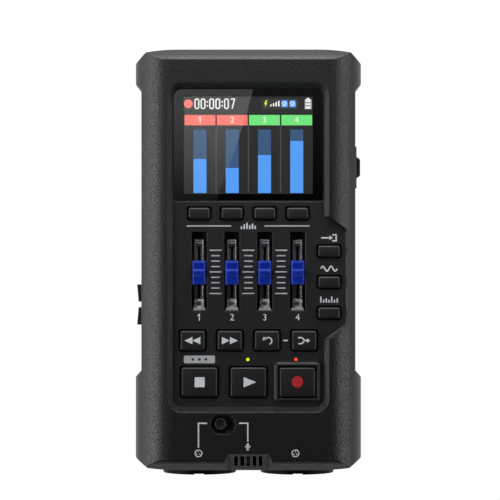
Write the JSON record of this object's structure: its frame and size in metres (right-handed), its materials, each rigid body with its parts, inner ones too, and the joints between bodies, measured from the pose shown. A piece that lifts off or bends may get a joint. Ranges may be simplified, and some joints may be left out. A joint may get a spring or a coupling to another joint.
{
  "type": "digital multitrack recorder",
  "caption": "Pocket multitrack recorder: a charcoal case with a colour display, sliding track faders, press keys, side switches, input jacks, a hinged battery door and rubber feet.",
  "frame": {"origin": "middle of the bounding box's underside, on the plane that the feet stand on", "axes": "+Y along the case towards the display end, +X to the right seen from the face, +Z out of the face"},
  "size_m": [0.083, 0.1562, 0.0506],
  "materials": {
    "case_plastic": "fine moulded grain",
    "panel_plastic": "fine satin",
    "window_glass": "clear, polished",
    "display_unit": "lit panel",
    "cap_plastic": "satin",
    "steel": "plain",
    "inner_plastic": "plain",
    "key_plastic": "soft satin",
    "green_lamp": "clear",
    "red_lamp": "clear",
    "jack_plastic": "satin",
    "contact_brass": "plated",
    "circuit_board": "lacquered",
    "cell_sleeve": "printed sleeve, plain",
    "foot_rubber": "matt"
  },
  "bodies": {
    "recorder": {"front_case": "case_plastic", "rear_case": "case_plastic", "control_panel": "panel_plastic", "power_plate": "panel_plastic", "mic_grille": "panel_plastic", "display_window": "window_glass", "display_module": "display_unit", "fader_covers": "steel", "source_switch": "steel", "power_switch": "steel", "volume_switches": "steel", "key_switches": "steel", "mic_capsule": "steel", "charge_port": "steel", "card_socket": "steel", "battery_contacts": "steel", "case_screws": "steel", "board_screws": "steel", "fader_bodies": "inner_plastic", "board_link": "inner_plastic", "speaker": "inner_plastic", "play_lamp": "green_lamp", "record_lamp": "red_lamp", "input_jack_a": "jack_plastic", "input_jack_b": "jack_plastic", "phones_jack": "jack_plastic", "jack_contacts": "contact_brass", "jack_board": "circuit_board", "front_board": "circuit_board", "main_board": "circuit_board", "battery_cells": "cell_sleeve", "rubber_feet": "foot_rubber"},
    "fader_1": {"fader_cap_1": "cap_plastic", "fader_lever_1": "steel"},
    "fader_2": {"fader_cap_2": "cap_plastic", "fader_lever_2": "steel"},
    "fader_3": {"fader_cap_3": "cap_plastic", "fader_lever_3": "steel"},
    "fader_4": {"fader_cap_4": "cap_plastic", "fader_lever_4": "steel"},
    "soft_key_1": {"soft_key_1": "key_plastic"},
    "soft_key_2": {"soft_key_2": "key_plastic"},
    "soft_key_3": {"soft_key_3": "key_plastic"},
    "soft_key_4": {"soft_key_4": "key_plastic"},
    "side_key_1": {"side_key_1": "key_plastic"},
    "side_key_2": {"side_key_2": "key_plastic"},
    "side_key_3": {"side_key_3": "key_plastic"},
    "rewind_key": {"rewind_key": "key_plastic"},
    "forward_key": {"forward_key": "key_plastic"},
    "undo_key": {"undo_key": "key_plastic"},
    "bounce_key": {"bounce_key": "key_plastic"},
    "stop_key": {"stop_key": "key_plastic"},
    "play_key": {"play_key": "key_plastic"},
    "record_key": {"record_key": "key_plastic"},
    "volume_up_key": {"volume_up_key": "key_plastic"},
    "volume_down_key": {"volume_down_key": "key_plastic"},
    "source_knob": {"source_knob": "key_plastic"},
    "power_knob": {"power_knob": "key_plastic"},
    "battery_door": {"battery_door": "case_plastic"},
    "card_cover": {"card_cover": "panel_plastic"}
  },
  "joints": [
    {"name": "fader_1_slide", "type": "slide", "parent": "recorder", "child": "fader_1", "axis": [0, 1, 0], "range_m": [-0.0075, 0.0075]},
    {"name": "fader_2_slide", "type": "slide", "parent": "recorder", "child": "fader_2", "axis": [0, 1, 0], "range_m": [-0.0075, 0.0075]},
    {"name": "fader_3_slide", "type": "slide", "parent": "recorder", "child": "fader_3", "axis": [0, 1, 0], "range_m": [-0.0075, 0.0075]},
    {"name": "fader_4_slide", "type": "slide", "parent": "recorder", "child": "fader_4", "axis": [0, 1, 0], "range_m": [-0.0075, 0.0075]},
    {"name": "soft_key_1_press", "type": "slide", "parent": "recorder", "child": "soft_key_1", "axis": [0, 0, -1], "range_m": [0, 0.0006], "stiffness_N_per_m": 800, "springref_m": -0.0006},
    {"name": "soft_key_2_press", "type": "slide", "parent": "recorder", "child": "soft_key_2", "axis": [0, 0, -1], "range_m": [0, 0.0006], "stiffness_N_per_m": 800, "springref_m": -0.0006},
    {"name": "soft_key_3_press", "type": "slide", "parent": "recorder", "child": "soft_key_3", "axis": [0, 0, -1], "range_m": [0, 0.0006], "stiffness_N_per_m": 800, "springref_m": -0.0006},
    {"name": "soft_key_4_press", "type": "slide", "parent": "recorder", "child": "soft_key_4", "axis": [0, 0, -1], "range_m": [0, 0.0006], "stiffness_N_per_m": 800, "springref_m": -0.0006},
    {"name": "side_key_1_press", "type": "slide", "parent": "recorder", "child": "side_key_1", "axis": [0, 0, -1], "range_m": [0, 0.0006], "stiffness_N_per_m": 800, "springref_m": -0.0006},
    {"name": "side_key_2_press", "type": "slide", "parent": "recorder", "child": "side_key_2", "axis": [0, 0, -1], "range_m": [0, 0.0006], "stiffness_N_per_m": 800, "springref_m": -0.0006},
    {"name": "side_key_3_press", "type": "slide", "parent": "recorder", "child": "side_key_3", "axis": [0, 0, -1], "range_m": [0, 0.0006], "stiffness_N_per_m": 800, "springref_m": -0.0006},
    {"name": "rewind_key_press", "type": "slide", "parent": "recorder", "child": "rewind_key", "axis": [0, 0, -1], "range_m": [0, 0.0006], "stiffness_N_per_m": 800, "springref_m": -0.0006},
    {"name": "forward_key_press", "type": "slide", "parent": "recorder", "child": "forward_key", "axis": [0, 0, -1], "range_m": [0, 0.0006], "stiffness_N_per_m": 800, "springref_m": -0.0006},
    {"name": "undo_key_press", "type": "slide", "parent": "recorder", "child": "undo_key", "axis": [0, 0, -1], "range_m": [0, 0.0006], "stiffness_N_per_m": 800, "springref_m": -0.0006},
    {"name": "bounce_key_press", "type": "slide", "parent": "recorder", "child": "bounce_key", "axis": [0, 0, -1], "range_m": [0, 0.0006], "stiffness_N_per_m": 800, "springref_m": -0.0006},
    {"name": "stop_key_press", "type": "slide", "parent": "recorder", "child": "stop_key", "axis": [0, 0, -1], "range_m": [0, 0.0006], "stiffness_N_per_m": 800, "springref_m": -0.0006},
    {"name": "play_key_press", "type": "slide", "parent": "recorder", "child": "play_key", "axis": [0, 0, -1], "range_m": [0, 0.0006], "stiffness_N_per_m": 800, "springref_m": -0.0006},
    {"name": "record_key_press", "type": "slide", "parent": "recorder", "child": "record_key", "axis": [0, 0, -1], "range_m": [0, 0.0006], "stiffness_N_per_m": 800, "springref_m": -0.0006},
    {"name": "volume_up_key_press", "type": "slide", "parent": "recorder", "child": "volume_up_key", "axis": [1, 0, 0], "range_m": [0, 0.0005], "stiffness_N_per_m": 800, "springref_m": -0.0005},
    {"name": "volume_down_key_press", "type": "slide", "parent": "recorder", "child": "volume_down_key", "axis": [1, 0, 0], "range_m": [0, 0.0005], "stiffness_N_per_m": 800, "springref_m": -0.0005},
    {"name": "source_knob_slide", "type": "slide", "parent": "recorder", "child": "source_knob", "axis": [1, 0, 0], "range_m": [0, 0.002]},
    {"name": "power_knob_slide", "type": "slide", "parent": "recorder", "child": "power_knob", "axis": [0, 1, 0], "range_m": [-0.0025, 0.0025]},
    {"name": "battery_door_hinge", "type": "hinge", "parent": "recorder", "child": "battery_door", "pos_m": [0, 0.0114, 0.0021], "axis": [1, 0, 0], "range_deg": [0, 90]},
    {"name": "card_cover_hinge", "type": "hinge", "parent": "recorder", "child": "card_cover", "pos_m": [0.0385, -0.00655, 0.0286], "axis": [0, 0, 1], "range_deg": [0, 90]}
  ]
}
